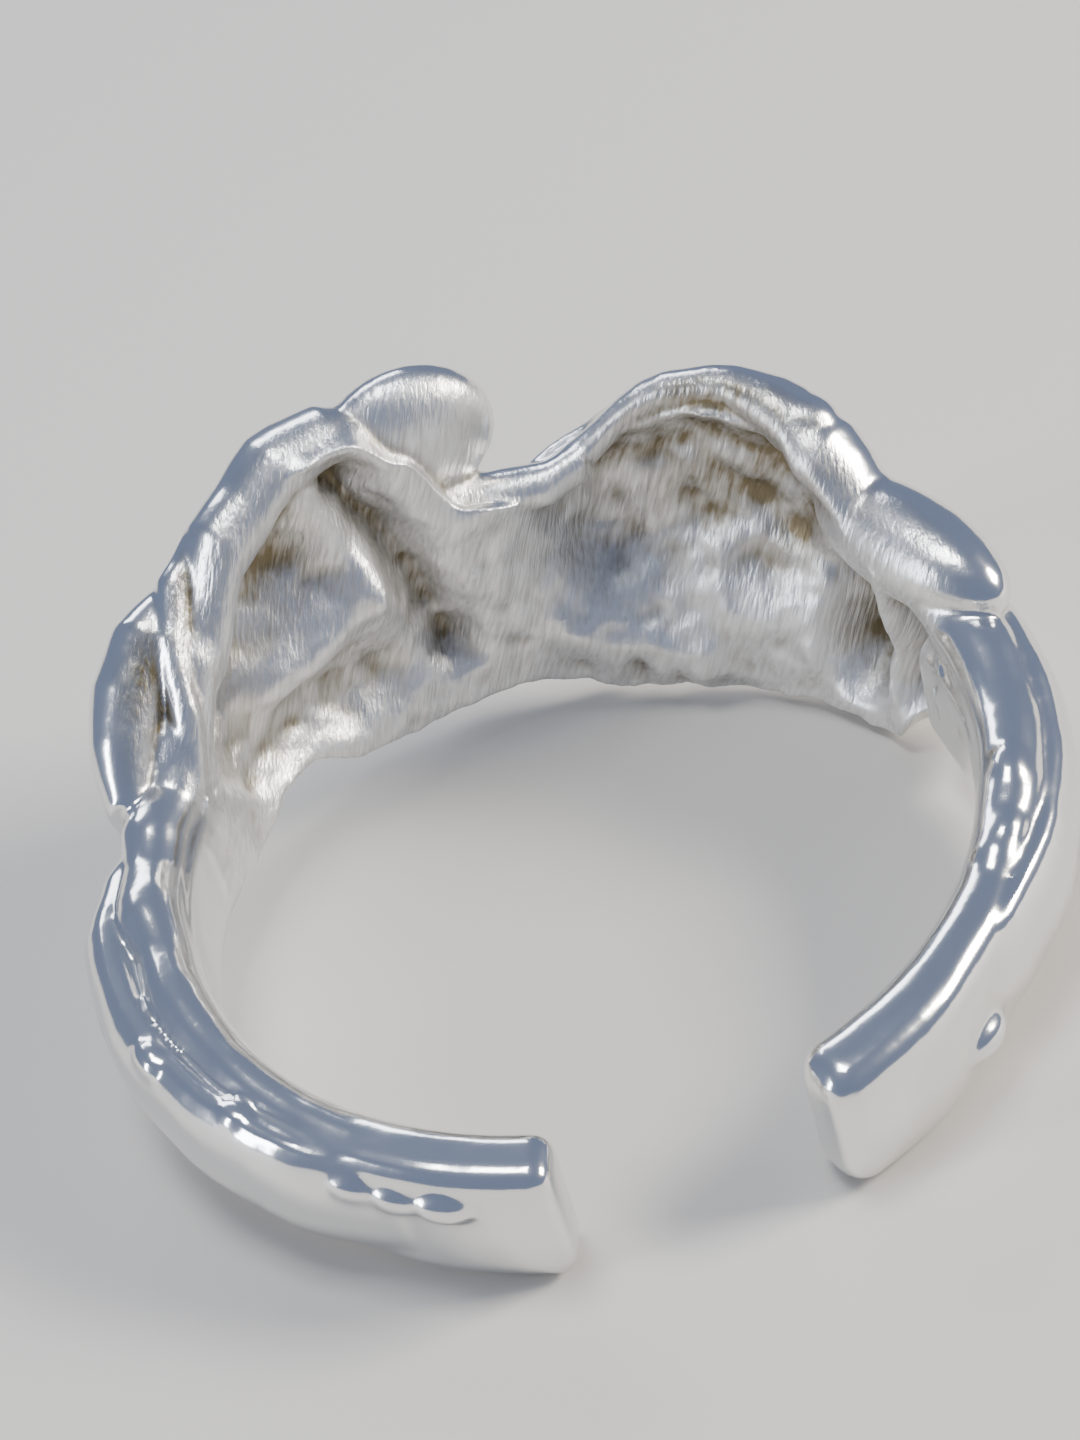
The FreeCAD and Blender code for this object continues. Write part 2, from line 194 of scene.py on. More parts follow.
# %% The flat sheet
SHEET_WALL = 0.85
SHEET_COLUMNS, SHEET_ROWS = 190, 80
NEAR_PATH = 0.14                # mm: vertices this close to a path are the ones that are pulled
UPPER_EDGE = [(67, 2.8), (57, 3.3), (46, 4.8), (33, 7.0), (22, 8.2), (14, 8.2), (7, 7.2), (0, 5.3),
              (-12, 4.8), (-18, 4.9), (-25, 5.8), (-36, 6.3), (-47, 6.0), (-56, 4.9), (-70, 4.2), (-87, 3.0)]
LOWER_EDGE = [(67, 0.1), (52, 0.1), (42, 0.6), (36, 0.5), (27, -0.3), (17, -0.6), (0, -0.5), (-10, -0.9),
              (-19, -1.35), (-40, -1.35), (-52, -1.2), (-60, -1.15), (-68, -1.0), (-73, 0.1), (-87, 0.4)]


def unrolled(angle, height, depth=0.0):
    """A point of unrolled space: the way round runs towards +X."""
    return Vector((-math.radians(angle) * FINGER_RADIUS, depth, height))


def roll_up(obj):
    """Rolls unrolled space round the finger."""
    for vertex in obj.data.vertices:
        x, y, z = vertex.co
        vertex.co = around(-math.degrees(x / FINGER_RADIUS), FINGER_RADIUS + y, z)


def flat_sheet():
    """A grid whose rows run from the lower to the upper edge."""
    deselect_all()
    bpy.ops.mesh.primitive_grid_add(x_subdivisions=SHEET_COLUMNS, y_subdivisions=SHEET_ROWS, size=1)
    sheet = bpy.context.object
    left, right = UPPER_EDGE[0][0], UPPER_EDGE[-1][0]
    for vertex in sheet.data.vertices:
        angle = left + (right - left) * (vertex.co.x + 0.5)
        low, high = smooth_between(LOWER_EDGE, angle)[0], smooth_between(UPPER_EDGE, angle)[0]
        vertex.co = unrolled(angle, low + (high - low) * (vertex.co.y + 0.5))
    return sheet


def pull(sheet, path, depth, reach, falloff):
    """Moves the sheet outwards by depth along a path of (angle, height) points. What lies within
    reach follows, as with proportional editing by hand."""
    points = [unrolled(angle, height) for angle, height in path]
    if len(points) == 1:
        points = points * 2
    deselect_all()
    bpy.context.view_layer.objects.active = sheet
    sheet.select_set(True)
    bpy.ops.object.mode_set(mode="EDIT")
    bpy.ops.mesh.select_all(action="DESELECT")
    bpy.ops.object.mode_set(mode="OBJECT")
    for vertex in sheet.data.vertices:
        flat = Vector((vertex.co.x, 0, vertex.co.z))
        for start, end in zip(points, points[1:]):
            run = end - start
            share = max(0.0, min(1.0, (flat - start).dot(run) / max(run.length_squared, 1e-9)))
            if (flat - start - run * share).length < NEAR_PATH:
                vertex.select = True
                break
    bpy.ops.object.mode_set(mode="EDIT")
    bpy.ops.transform.translate(value=(0, depth, 0), use_proportional_edit=True,
                                proportional_edit_falloff=falloff, proportional_size=reach)
    bpy.ops.object.mode_set(mode="OBJECT")


# %% Hollows and folds
# label: path of (angle, height) points, depth outwards in mm, reach in mm, falloff
PULLS = (
    ("left upper hollow", [(48, 3.9), (36, 5.2), (27, 6.2)], 1.35, 2.1, "SMOOTH"),
    ("under the left rim", [(46, 4.6), (34, 6.6), (24, 7.6), (17, 7.6)], 0.35, 1.1, "SMOOTH"),
    ("left lower hollow", [(44, 1.9), (30, 1.8), (20, 1.5)], 0.8, 1.7, "SMOOTH"),
    ("ridge between them", [(38, 3.3), (26, 3.9), (18, 4.3)], -0.5, 0.9, "SMOOTH"),
    ("fold beside the column", [(16, 7.0), (12.5, 5.2), (9.5, 3.4), (7.5, 1.2)], 1.2, 1.1, "SHARP"),
    ("lump in the upper hollow", [(23, 6.9), (21, 5.9)], -0.7, 0.9, "SMOOTH"),
    ("lump by the fold", [(18, 5.0), (16, 3.6)], -0.35, 0.8, "SMOOTH"),
    ("right hollow", [(-24, 3.4), (-34, 4.2), (-45, 3.8)], 1.6, 3.4, "SMOOTH"),
    ("under the right rim", [(-21, 4.9), (-28, 5.7), (-38, 6.0), (-46, 5.5)], 0.75, 1.5, "SMOOTH"),
    ("right hollow's left wall", [(-15, 4.2), (-18, 2.4)], 0.4, 1.2, "SMOOTH"),
    ("lower ledge", [(-12, 0.6), (-22, 0.2), (-34, -0.2)], -0.35, 0.8, "SMOOTH"),
    ("lower bump 1", [(-17, -0.5)], -0.3, 0.6, "SMOOTH"),
    ("lower bump 2", [(-24, -0.7)], -0.35, 0.6, "SMOOTH"),
    ("lower bump 3", [(-31, -0.8)], -0.3, 0.6, "SMOOTH"),
    ("side groove 1", [(-60.5, 3.4), (-60, 0.6)], 1.9, 1.3, "SMOOTH"),
    ("side groove 2", [(-75, 3.2), (-74, 1.0)], 1.9, 1.3, "SMOOTH"),
    ("side ridge", [(-68, 3.4), (-68, 0.6)], -0.35, 0.8, "SMOOTH"),
)
front_sheet = flat_sheet()
for label, path, depth, reach, falloff in PULLS:
    pull(front_sheet, path, depth, reach, falloff)
    print("pulled:", label)
apply_modifier(front_sheet, "SMOOTH", factor=0.5, iterations=10, use_x=False, use_z=False)

# %% Uneven, thick and rolled up
# A cast hollow is never even: a soft cloud texture moves the sheet by up to a fifth of a millimetre.
clouds = bpy.data.textures.new("uneven_hollows", "CLOUDS")
clouds.noise_scale = 0.9
UNEVENNESS = 0.42
apply_modifier(front_sheet, "DISPLACE", texture=clouds, texture_coords="LOCAL", direction="Y",
               strength=UNEVENNESS, mid_level=0.5)
# Thickened metal crinkles outside a sharp fold, so the outside alone is smoothed.
front_sheet.vertex_groups.new(name="outside")
apply_modifier(front_sheet, "SOLIDIFY", thickness=SHEET_WALL, offset=-1.0, use_even_offset=False,
               shell_vertex_group="outside")
apply_modifier(front_sheet, "SMOOTH", vertex_group="outside", factor=0.5, iterations=24)
roll_up(front_sheet)
print("front sheet", len(front_sheet.data.polygons), "faces")

# %% [markdown]
# ## Rims, strands and shanks
# These are the bars. Each row of numbers is one station: where it is and how thick it is there.

# %% Bars
BARS = {                        # name: (sides, stations of angle, radius, height, half width, half height)
    "left_rim": (32, [(63, 9.65, 3.1, 0.75, 0.65), (56, 9.7, 3.7, 0.8, 0.75), (46, 9.9, 5.0, 0.85, 0.85),
                      (33, 10.1, 6.95, 0.95, 0.8), (22, 10.1, 7.9, 1.05, 0.65), (14, 10.1, 7.9, 0.9, 0.6),
                      (7, 9.95, 7.0, 0.65, 0.7), (2, 9.8, 5.7, 0.55, 0.6)]),
    "left_twist": (24, [(33, 10.6, 7.0, 0.4, 0.45), (41, 10.55, 6.3, 0.5, 0.55), (48, 10.1, 5.6, 0.5, 0.5),
                        (54, 9.4, 4.6, 0.45, 0.45), (60, 9.1, 3.3, 0.25, 0.35)]),
    "bridge_rim": (32, [(5, 9.65, 5.5, 0.6, 0.6), (-4, 9.6, 4.85, 0.62, 0.5), (-13, 9.65, 4.75, 0.6, 0.5),
                        (-19, 10.1, 5.0, 0.5, 0.5)]),
    "right_rim": (32, [(-14, 9.9, 4.7, 0.55, 0.5), (-18, 10.25, 4.95, 0.5, 0.48),
                       (-23, 10.55, 5.75, 0.5, 0.45), (-29, 10.75, 6.4, 0.5, 0.4),
                       (-38, 10.85, 6.6, 0.55, 0.42), (-46, 10.65, 6.35, 0.8, 0.6),
                       (-53, 10.3, 5.65, 1.0, 0.75), (-64, 9.95, 4.4, 0.85, 0.65)]),
    "left_wing": (32, [(42, 10.7, 5.9, 0.6, 0.55), (47, 10.85, 5.55, 0.9, 0.75), (54, 10.95, 4.7, 0.95, 0.85),
                       (60, 10.8, 3.95, 0.8, 0.8), (66, 10.45, 3.2, 0.5, 0.6)]),
    "left_shank": (4, [(54, 9.35, 1.6, 0.6, 1.5), (66, 9.45, 1.6, 0.7, 1.6), (120, 9.45, 1.6, 0.7, 1.6),
                       (150, 9.5, 1.65, 0.75, 1.65), (163, 9.5, 1.65, 0.75, 1.65)]),
    "right_shank": (4, [(-76, 9.4, 1.7, 0.7, 1.5), (-88, 9.45, 1.65, 0.7, 1.65),
                        (-120, 9.45, 1.65, 0.7, 1.62), (-136, 9.5, 1.65, 0.76, 1.65),
                        (-150, 9.6, 1.65, 0.85, 1.68), (-164.5, 9.65, 1.65, 0.88, 1.68)]),
    "left_inner_strand": (32, [(54, 9.6, 3.3, 0.75, 0.75), (61, 9.65, 3.05, 0.75, 0.73),
                               (68, 9.75, 3.1, 0.82, 0.77), (75, 9.62, 2.98, 0.72, 0.7),
                               (83, 9.65, 3.05, 0.78, 0.76), (91, 9.45, 2.92, 0.65, 0.7),
                               (99, 9.5, 2.95, 0.68, 0.72), (112, 9.42, 2.85, 0.6, 0.65),
                               (128, 9.4, 2.75, 0.6, 0.6), (148, 9.45, 2.6, 0.6, 0.6)]),
    "left_outer_strand": (40, [(69, 10.0, 2.9, 0.35, 0.4), (76, 10.35, 2.6, 0.6, 0.75),
                               (84, 10.6, 2.2, 0.75, 1.2), (98, 10.55, 1.9, 0.76, 1.45),
                               (112, 10.35, 1.8, 0.74, 1.5), (126, 10.2, 1.75, 0.65, 1.5),
                               (144, 9.95, 1.7, 0.4, 1.35)]),
    "right_inner_strand": (32, [(-74, 10.0, 3.7, 0.9, 0.75), (-84, 9.85, 3.3, 0.85, 0.75),
                                (-98, 9.7, 3.05, 0.8, 0.75), (-110, 9.6, 3.0, 0.75, 0.75),
                                (-121, 9.5, 2.85, 0.65, 0.65), (-132, 9.5, 2.5, 0.55, 0.5)]),
    "right_outer_strand": (40, [(-72, 10.55, 3.1, 0.4, 0.6), (-80, 10.65, 2.8, 0.55, 0.9),
                                (-90, 10.6, 2.3, 0.6, 1.25), (-102, 10.5, 1.9, 0.6, 1.4),
                                (-114, 10.35, 1.75, 0.55, 1.45), (-128, 10.1, 1.75, 0.5, 1.4),
                                (-140, 9.85, 1.7, 0.35, 1.25)]),
}
SHANK_EDGES = {"left_shank": 0.46, "right_shank": 0.66}     # the right one is worn rounder
blanks = {name: bar(name, stations, sides) for name, (sides, stations) in BARS.items()}
blanks["front_sheet"] = front_sheet
for name, width in SHANK_EDGES.items():
    apply_modifier(blanks[name], "BEVEL", width=width, segments=4, limit_method="ANGLE",
                   angle_limit=math.radians(50), use_clamp_overlap=False)

# %% [markdown]
# ## Domes and beads
# These are spheres, stretched in edit mode where they lie. A half-sunk sphere is all that a cast bead is.

# %% Spheres


def ball(name, angle, radius, height, half_sizes):
    """A sphere with half sizes along the band, outwards and upwards."""
    centre = around(angle, radius, height)
    deselect_all()
    bpy.ops.mesh.primitive_uv_sphere_add(segments=32, ring_count=16, radius=1, location=centre)
    obj = bpy.context.object
    obj.name = name
    bpy.ops.object.transform_apply(location=True, rotation=False, scale=False)
    here = Matrix((around(angle + 90, 1, 0), around(angle, 1, 0), (0, 0, 1))).transposed()
    bpy.ops.object.mode_set(mode="EDIT")
    bpy.ops.mesh.select_all(action="SELECT")
    bpy.ops.transform.resize(value=half_sizes, orient_matrix=here, orient_type="GLOBAL",
                             orient_matrix_type="GLOBAL", center_override=centre)
    bpy.ops.object.mode_set(mode="OBJECT")
    return obj


BALLS = (                       # name, angle, radius, height, half sizes along, out and up
    ("left_front_dome", 4.0, 10.2, 6.75, (2.15, 1.15, 1.85)),
    ("right_rim_knob", -49.0, 10.6, 6.0, (1.0, 0.8, 0.75)),
    ("right_shoulder_dome", -67.5, 10.1, 4.15, (3.1, 1.25, 1.2)),
)
BEAD_STRETCH = 1.7
LEFT_BEADS = ((106, 10.6, 3.0, 0.4), (121, 10.2, 2.95, 0.4), (130, 10.2, 2.75, 0.38),
              (137.5, 10.13, 2.5, 0.42), (143.5, 10.1, 2.42, 0.4), (149.5, 10.12, 2.42, 0.44))
RIGHT_BEADS = ((-93, 9.65, 3.4, 0.45), (-100, 9.6, 3.35, 0.45), (-109, 9.6, 3.3, 0.55), (-118, 9.6, 3.1, 0.5),
               (-141, 10.2, 1.1, 0.45))
for name, angle, radius, height, half_sizes in BALLS:
    blanks[name] = ball(name, angle, radius, height, half_sizes)
for side, beads in (("left", LEFT_BEADS), ("right", RIGHT_BEADS)):
    for number, (angle, radius, height, size) in enumerate(beads, start=1):
        name = "%s_bead_%d" % (side, number)
        blanks[name] = ball(name, angle, radius, height, (size * BEAD_STRETCH, size, size))
print(len(blanks), "blanks")

# %% [markdown]
# ## One casting
# A voxel remesh melts all blanks into one closed skin, and a few rounds of smoothing take the steps out.

# %% Melt
VOXEL = 0.085
pick(*blanks.values())
bpy.ops.object.join()
casting = bpy.context.object
casting.name = "casting"
casting.data.remesh_voxel_size = VOXEL
casting.data.use_remesh_fix_poles = False
bpy.ops.object.voxel_remesh()
apply_modifier(casting, "SMOOTH", factor=0.5, iterations=12)
bpy.ops.object.shade_smooth()
print("casting", len(casting.data.polygons), "faces")

# %% [markdown]
# ## Where the polishing wheel reached, and where shade is painted
# A wheel brightens what stands out and never gets into the hollows. Three numbers say so at every vertex:
# whether it looks at the finger inside the front (satin), how far it lies in a groove (a smoothed copy
# of the skin passes above it there), and how deep in a hollow it is. Besides the roughness, they darken
# the colour: partly tarnish, partly painted shade in the grooves and a painted brown reflection in the
# hollows.

# %% Tone
GROOVE = 0.1                    # mm below the smoothed copy that counts as fully sunk
FRONT_START, FRONT_END, FADE = 66.0, -84.0, 10.0        # degrees: the satin inside fades out at both ends
COLUMN_ANGLE, COLUMN_HALF, COLUMN_FADE = -6.0, 8.0, 16.0    # degrees: the darkening of the hollows, painted shade and painted reflection, is weaker by the column
HOLLOW_RADIUS, HOLLOW_DEPTH = 9.0, 1.8                  # mm: where a hollow starts, and full depth


def copy_of(obj, name):
    """A second object with a mesh of its own."""
    pick(obj)
    bpy.ops.object.duplicate()
    twin = bpy.context.object
    twin.name = name
    return twin


smoothed = copy_of(casting, "smoothed")
apply_modifier(smoothed, "SMOOTH", factor=0.5, iterations=70)
tone = casting.data.attributes.new("tone", "FLOAT_COLOR", "POINT")
for vertex, above in zip(casting.data.vertices, smoothed.data.vertices):
    place = vertex.co
    radius = math.hypot(place.x, place.y)
    outwards = (vertex.normal.x * place.x + vertex.normal.y * place.y) / radius
    angle = math.degrees(math.atan2(-place.x, place.y))
    in_front = min(1.0, max(0.0, min(FRONT_START - angle, angle - FRONT_END) / FADE))
    satin = in_front * min(1.0, max(0.0, 0.25 - outwards * 1.5))
    # How sunk and how deep a vertex lies darkens its colour later: partly tarnish, partly painted shade in
    # grooves and a painted brown reflection in hollows.
    groove = min(1.0, max(0.0, (above.co - place).dot(vertex.normal) / GROOVE))
    off_column = min(1.4, max(0.25, (abs(angle - COLUMN_ANGLE) - COLUMN_HALF) / COLUMN_FADE))
    depth = satin * off_column * min(1.0, max(0.0, (radius - HOLLOW_RADIUS) / HOLLOW_DEPTH))
    tone.data[vertex.index].color = (satin, groove * (0.35 + 0.65 * satin), depth, 1.0)
bpy.data.objects.remove(smoothed)
print("tone set at", len(tone.data), "vertices")

# %% [markdown]
# ## Parting the casting
# Each piece is what the casting and a slightly fatter copy of its blank have in common. It is cut off
# the rest before the next one, so neighbours share a clean face and nothing is left between them. The
# petals, which are parts of one sheet, are parted by blocks that stand between two angles. The two arms
# come off first, at the roots that the frame's hinges give.

# %% Cutters
FATTER, BEAD_FATTER = 0.16, 0.05                        # mm that a cutter is thicker than its blank
BLOCK_RADIUS, BLOCK_HALF_WIDTH = 9.5, 3.5


def root_angle(joint_name):
    """The angle round the finger of a hinge of the frame."""
    joint = next(joint for joint in frame["joints"] if joint["name"] == joint_name)
    place = LAY_DOWN.inverted() @ Vector(joint["pos_m"])
    return math.degrees(math.atan2(-place.x, place.y))


LEFT_ROOT, RIGHT_ROOT = root_angle("left_arm_flex"), root_angle("right_arm_flex")
print("roots at", round(LEFT_ROOT, 2), round(RIGHT_ROOT, 2), "degrees")


def block(start, end, low=-4.0, high=14.0):
    """A block across the whole band between two angles and two heights in mm."""
    section = (BLOCK_RADIUS, 0.5 * (low + high), BLOCK_HALF_WIDTH, 0.5 * (high - low))
    return bar("block", [(start, *section), (end, *section)], sides=4)


def fat_bars(*names):
    """Slightly thicker copies of bars."""
    return [bar("cutter", BARS[name][1], BARS[name][0], grow=FATTER) for name in names]


def fat_balls(*names):
    """Slightly larger copies of domes."""
    found = [row for row in BALLS if row[0] in names]
    return [ball("cutter", angle, radius, height, [size + FATTER for size in sizes])
            for name, angle, radius, height, sizes in found]


def fat_beads(beads):
    """Slightly larger copies of beads."""
    cutters = []
    for angle, radius, height, size in beads:
        fat = size + BEAD_FATTER
        long = size * BEAD_STRETCH + BEAD_FATTER
        cutters.append(ball("cutter", angle, radius, height, (long, fat, fat)))
    return cutters


def boolean(obj, cutter, operation):
    """What obj and a cutter have in common, or obj without it."""
    apply_modifier(obj, "BOOLEAN", object=cutter, operation=operation, solver="MANIFOLD")


def part_off(rest, name, cutters):
    """Cuts one piece off the rest and returns it. Several cutters give several lumps of one piece."""
    lumps = []
    for cutter in cutters:
        lump = copy_of(rest, name)
        boolean(lump, cutter, "INTERSECT")
        boolean(rest, cutter, "DIFFERENCE")
        bpy.data.objects.remove(cutter)
        lumps.append(lump)
    pick(*lumps)
    if len(lumps) > 1:
        bpy.ops.object.join()
    piece = bpy.context.object
    piece.name = name
    return piece


# %% Cut the front
BRIDGE_LEFT, BRIDGE_RIGHT, SIDE_START = 4.0, -14.0, -56.0     # degrees where the petals meet
LEFT_SPLIT, RIGHT_SPLIT = 4.1, 0.9                      # mm: upper and lower petals meet at this height
LAP = 0.3                       # a later cutter laps over an earlier cut, so no sliver is left between
PAST_TIP, PAST_ROOT = 172.0, 4.0    # degrees: far enough to take all that is left
front = copy_of(casting, "front")
pieces = {}


def take(rest, name, *cutters):
    """Parts one piece off the rest and keeps it under the name of its CAD node."""
    pieces[name] = part_off(rest, name, cutters)


take(front, "left_wing", *fat_bars("left_wing"))
take(front, "left_arm", block(LEFT_ROOT, PAST_TIP))
take(front, "right_arm", block(RIGHT_ROOT, -PAST_TIP))
take(front, "left_front_dome", *fat_balls("left_front_dome"))
take(front, "right_rim_knob", *fat_balls("right_rim_knob"))
take(front, "right_shoulder_dome", *fat_balls("right_shoulder_dome"))
take(front, "left_rim_twist", *fat_bars("left_twist"))
take(front, "left_rim", *fat_bars("left_rim"))
take(front, "right_rim", *fat_bars("right_rim"))
take(front, "saddle_rim", *fat_bars("bridge_rim"))
take(front, "centre_bridge", block(BRIDGE_LEFT, BRIDGE_RIGHT))
take(front, "left_lower_petal", block(BRIDGE_LEFT - LAP, LEFT_ROOT + PAST_ROOT, high=LEFT_SPLIT))
take(front, "left_upper_petal", block(BRIDGE_LEFT - LAP, LEFT_ROOT + PAST_ROOT))
take(front, "right_lower_petal", block(BRIDGE_RIGHT + LAP, SIDE_START, high=RIGHT_SPLIT))
take(front, "right_upper_petal", block(BRIDGE_RIGHT + LAP, SIDE_START))
pieces["right_side_petal"] = front
print("front parted into", len(pieces) - 2, "pieces")

# %% Cut the arms
LEAF_END = -100.0               # degrees
left_arm, right_arm = pieces.pop("left_arm"), pieces.pop("right_arm")
take(left_arm, "left_beads", *fat_beads(LEFT_BEADS))
take(left_arm, "left_outer_strand", *fat_bars("left_outer_strand"))
take(left_arm, "left_inner_strand", *fat_bars("left_inner_strand"))
take(right_arm, "right_beads", *fat_beads(RIGHT_BEADS))
take(right_arm, "right_outer_strand", *fat_bars("right_outer_strand"))
take(pieces["right_outer_strand"], "right_outer_leaf", block(RIGHT_ROOT + PAST_ROOT, LEAF_END))
take(right_arm, "right_inner_strand", *fat_bars("right_inner_strand"))
pieces["left_shank"], pieces["right_shank"] = left_arm, right_arm
for name, piece in pieces.items():
    piece.name = "cast_" + name
    print(piece.name, len(piece.data.polygons), "faces")

# %% [markdown]
# Cutting leaves each piece with normals of its own, and a faint line shows in polished metal where two
# pieces meet. The casting still has the unbroken normals, so Data Transfer copies them to every piece.

# %% Shading
for piece in pieces.values():
    pick(piece)
    bpy.ops.object.shade_smooth_by_angle(angle=math.radians(45))
    apply_modifier(piece, "DATA_TRANSFER", object=casting, use_loop_data=True,
                   data_types_loops={"CUSTOM_NORMAL"}, loop_mapping="POLYINTERP_NEAREST",
                   use_vert_data=True, data_types_verts={"COLOR_VERTEX"},
                   vert_mapping="POLYINTERP_NEAREST")
bpy.data.objects.remove(casting)
print("shading copied to", len(pieces), "pieces")

# %% [markdown]
# ## Into the frame
# Pieces of the front ride on it. The pieces of the arms are laid down in place and not attached to any body.

# %% Ride on the front, or lie in place
BEND_LENGTH = 22.0              # degrees of band from an arm's root to an end point that nothing uses
BAND_RADIUS = 9.55              # mm to the middle of the band's thickness
BODIES = {node: body for body, nodes in frame["record"]["behaviour"]["bodies"].items() for node in nodes}
ROOTS = {"left_arm": LEFT_ROOT, "right_arm": RIGHT_ROOT}
for name, piece in pieces.items():
    piece.data.transform(LAY_DOWN)
    body = BODIES[name]
    if body in ROOTS:
        side = 1 if ROOTS[body] > 0 else -1
        start = LAY_DOWN @ around(ROOTS[body], BAND_RADIUS, 0.5 * SHANK_HEIGHT)
        end = LAY_DOWN @ around(ROOTS[body] + side * BEND_LENGTH, BAND_RADIUS, 0.5 * SHANK_HEIGHT)
        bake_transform(piece)
    else:
        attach(piece, "front")
    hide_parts(name)
print("pieces on the arms:", sum(BODIES[name] in ROOTS for name in pieces))

# %% [markdown]
# ## Silver
# Both silvers are one recipe. What the wheel reached is bright; hollows keep the fine strokes of a wire
# brush. Grooves and hollows are darkened towards olive-brown: partly real tarnish, partly painted shade in
# the grooves and a painted brown reflection in the hollows, weaker by the column. The maths between the
# nodes is written as plain expressions: a Wire stands for a socket, and each operator adds its Math node.

# %% Shader maths


class Wire:
    """A number that runs between shader nodes."""

    def __init__(self, recipe, socket):
        self.recipe, self.socket = recipe, socket

    def maths(self, operation, first, second):
        node = self.recipe.node("ShaderNodeMath", {"operation": operation}, {0: first, 1: second})
        return Wire(self.recipe, node.outputs[0])

    def __add__(self, other):
        return self.maths("ADD", self, other)

    def __sub__(self, other):
        return self.maths("SUBTRACT", self, other)

    def __mul__(self, other):
        return self.maths("MULTIPLY", self, other)

    __radd__, __rmul__ = __add__, __mul__

    def __rsub__(self, other):
        return self.maths("SUBTRACT", other, self)

    def clamped(self):
        """This number, kept from 0 to 1."""
        raised = self.maths("MAXIMUM", self, 0.0)
        return self.maths("MINIMUM", raised, 1.0)


class Recipe:
    """The nodes of one material."""

    def __init__(self, name):
        self.material = bpy.data.materials.new(name)
        self.material.use_nodes = True
        self.tree = self.material.node_tree
        self.surface = self.tree.nodes["Principled BSDF"]

    def feed(self, node, inputs):
        """Gives sockets, by name or number, their values or links."""
        for socket, value in inputs.items():
            if isinstance(value, Wire):
                self.tree.links.new(value.socket, node.inputs[socket])
            else:
                node.inputs[socket].default_value = value

    def node(self, kind, settings, inputs):
        """A new node. Its settings come first, because they decide which sockets it has."""
        made = self.tree.nodes.new(kind)
        for setting, value in settings.items():
            setattr(made, setting, value)
        self.feed(made, inputs)
        return made


# %% Noise on the metal


def noise(recipe, turn, grain, detail):
    """Noise in object coordinates, with so many grains per millimetre along three turned axes."""
    place = recipe.node("ShaderNodeTexCoord", {}, {})
    turned = recipe.node("ShaderNodeMapping", {"vector_type": "TEXTURE"},
                         {"Vector": Wire(recipe, place.outputs["Object"]),
                          "Rotation": [math.radians(value) for value in turn],
                          "Scale": [MM / value for value in grain]})
    pattern = recipe.node("ShaderNodeTexNoise", {},
                          {"Vector": Wire(recipe, turned.outputs["Vector"]), "Scale": 1.0, "Detail": detail})
    return Wire(recipe, pattern.outputs["Fac"])


# %% The recipe of silver
BRIGHT = (0.88, 0.875, 0.86, 1.0)
# The dark end of the colour mix: olive-brown tarnish, also used as painted shade and painted reflection.
TARNISH_AND_SHADE_COLOUR = (0.22, 0.18, 0.11, 1.0)


def silver(name, rubbed):
    """Silver with the roughness that its polished parts have."""
    recipe = Recipe(name)
    marks = recipe.node("ShaderNodeAttribute", {"attribute_name": "tone"}, {})
    parts = recipe.node("ShaderNodeSeparateColor", {}, {"Color": Wire(recipe, marks.outputs["Color"])})
    satin, groove, depth = [Wire(recipe, parts.outputs[index]) for index in range(3)]
    strokes = noise(recipe, (0, 24, 0), (11.0, 5.0, 1.1), 3.0)
    blotches = noise(recipe, (0, 0, 0), (0.9, 0.9, 0.9), 3.0)
    ripples = noise(recipe, (20, 35, 0), (0.55, 0.55, 0.55), 1.0)

    roughness = rubbed + 0.24 * satin + 0.35 * (strokes - 0.5) * satin + 0.25 * groove
    # Darker towards olive-brown in grooves, hollows and satin streaks: partly real tarnish, partly painted
    # shade in the grooves and a painted brown reflection in the hollows.
    tarnish_and_painted_shade = 0.8 * groove + 0.7 * depth * (2.2 * blotches - 0.35) + 0.9 * satin * (strokes - 0.4)
    colour = recipe.node("ShaderNodeMix", {"data_type": "RGBA"},
                         {"Factor": tarnish_and_painted_shade.clamped(), "A": BRIGHT, "B": TARNISH_AND_SHADE_COLOUR})
    height = 0.035 * strokes * satin + 0.02 * blotches + 0.08 * ripples
    bump = recipe.node("ShaderNodeBump", {}, {"Strength": 1.0, "Distance": MM, "Height": height})
    recipe.feed(recipe.surface, {"Metallic": 1.0, "Roughness": roughness.clamped(),
                                 "Base Color": Wire(recipe, colour.outputs["Result"]),
                                 "Normal": Wire(recipe, bump.outputs["Normal"])})
    return recipe.material


# %% Silver on every piece
ROUGHNESS = {"polished_silver": 0.15, "satin_silver": 0.19}
SATIN_PIECES = ("centre_bridge", "left_upper_petal", "left_lower_petal", "right_upper_petal",
                "right_lower_petal", "right_side_petal")
silvers = {name: silver(name, rubbed) for name, rubbed in ROUGHNESS.items()}
for name, piece in pieces.items():
    slot = "satin_silver" if name in SATIN_PIECES else "polished_silver"
    piece.data.materials.clear()
    piece.data.materials.append(silvers[slot])
print(len(SATIN_PIECES), "satin pieces of", len(pieces))

# %% [markdown]
# ## The table, the light and the view
# A plain pale table. A panel on the right gives the main light, one overhead softens it, and two long
# panels draw bright lines along the polished rims, as windows do.

# %% Table and light
deselect_all()
bpy.ops.mesh.primitive_plane_add(size=4.0, location=(0, 0, 0))
floor = bpy.context.object
floor.name = "floor"
paper = Recipe("pale_paper")
paper.feed(paper.surface, {"Base Color": (0.58, 0.55, 0.50, 1.0), "Roughness": 0.7})
floor.data.materials.append(paper.material)

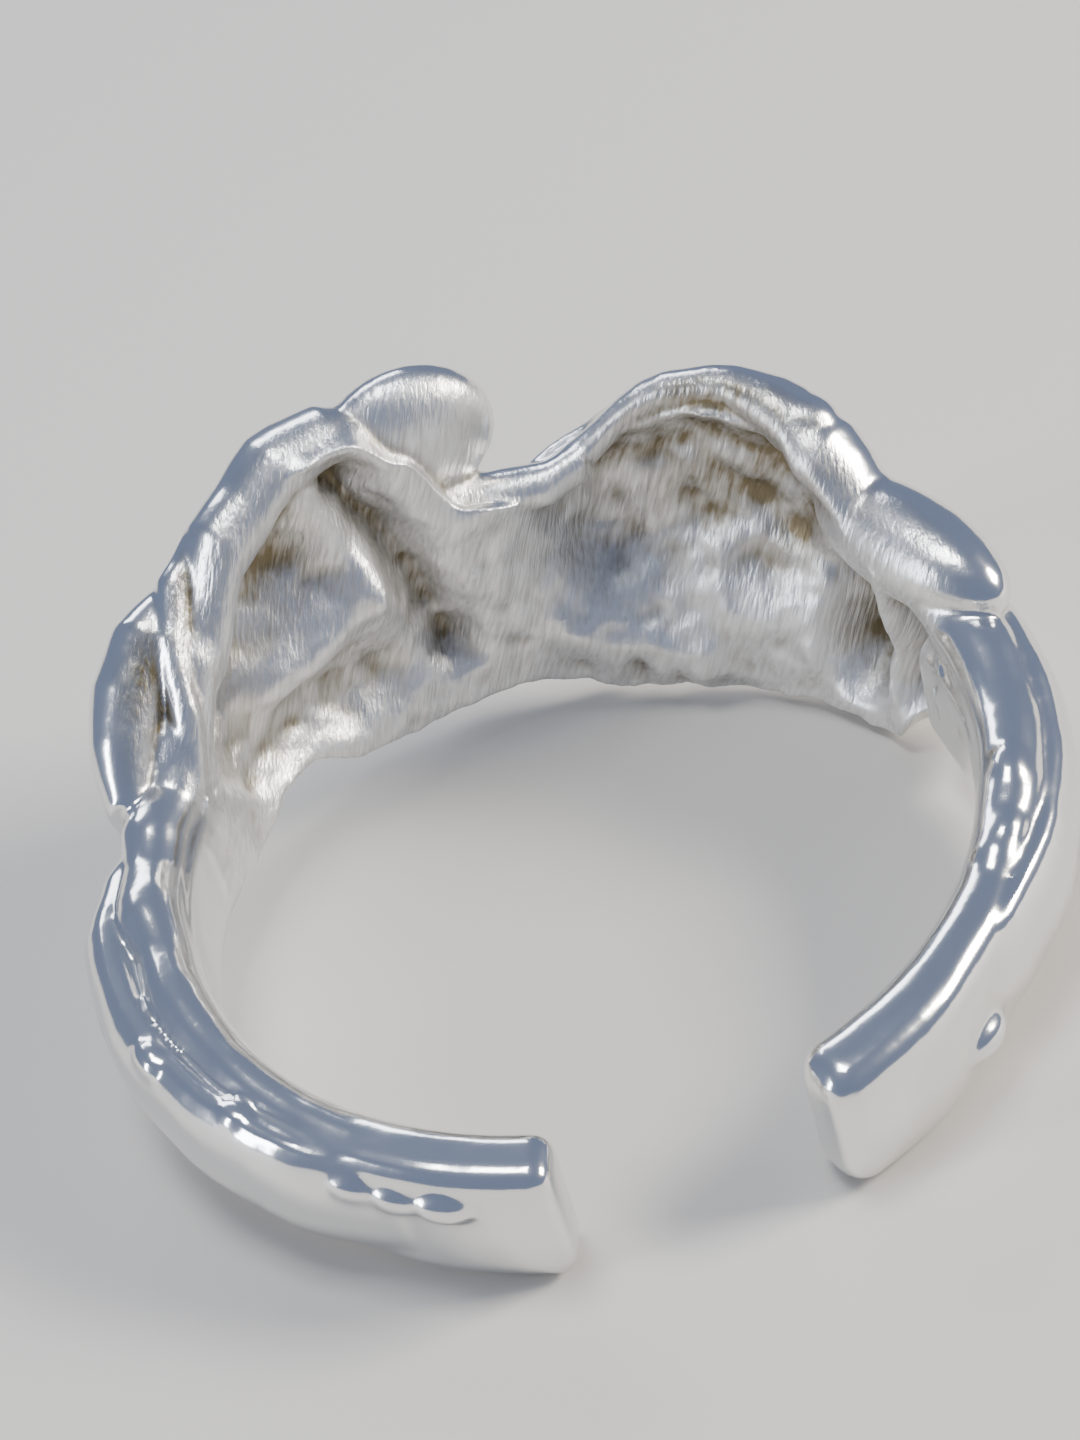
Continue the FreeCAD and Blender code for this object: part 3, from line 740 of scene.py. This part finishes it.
world = bpy.data.worlds.new("pale_room")
world.use_nodes = True
sky = world.node_tree.nodes["Background"]
sky.inputs["Color"].default_value = (0.38, 0.47, 0.72, 1.0)
sky.inputs["Strength"].default_value = 0.5
bpy.context.scene.world = world

PANELS = (                      # name, place and size in metres, power in watts, colour
    ("key", (0.22, -0.03, 0.15), (0.10, 0.08), 1.1, (1.0, 0.96, 0.9)),
    ("overhead", (-0.03, 0.02, 0.30), (0.10, 0.10), 0.55, (0.93, 0.96, 1.0)),
    ("back", (-0.06, 0.30, 0.20), (0.22, 0.08), 0.35, (0.85, 0.9, 1.0)),
    ("strip", (-0.20, -0.02, 0.08), (0.03, 0.14), 0.25, (0.85, 0.9, 1.0)),
)
for name, place, size, power, colour in PANELS:
    light = bpy.data.lights.new(name, "AREA")
    light.shape = "RECTANGLE"
    light.size, light.size_y = size
    light.energy = power
    light.color = colour
    lamp = bpy.data.objects.new(name, light)
    lamp.location = place
    lamp.rotation_euler = (-Vector(place)).to_track_quat("-Z", "Y").to_euler()
    bpy.context.scene.collection.objects.link(lamp)
print(len(PANELS), "panels of light")

# %% Camera
CAMERA_TARGET = Vector((-0.109, 4.538, 2.0))
CAMERA_DISTANCE = 74.52         # mm
CAMERA_AZIMUTH, CAMERA_ELEVATION, CAMERA_ROLL = -3.1, 42.27, -16.16
camera_data = bpy.data.cameras.new("camera")
camera_data.lens = 80
camera_data.sensor_width = 36
camera_data.clip_start = 0.001
camera = bpy.data.objects.new("camera", camera_data)
bpy.context.scene.collection.objects.link(camera)
bpy.context.scene.camera = camera
aim = (Matrix.Rotation(math.radians(CAMERA_AZIMUTH), 4, "Z") @ Matrix.Translation(CAMERA_TARGET)
       @ Matrix.Rotation(math.radians(90.0 - CAMERA_ELEVATION), 4, "X")
       @ Matrix.Rotation(math.radians(CAMERA_ROLL), 4, "Z") @ Matrix.Translation((0, 0, CAMERA_DISTANCE)))
place, turn, _ = (LAY_DOWN @ aim).decompose()
camera.matrix_world = Matrix.LocRotScale(place, turn, (1, 1, 1))
print("camera", [round(value, 4) for value in place])
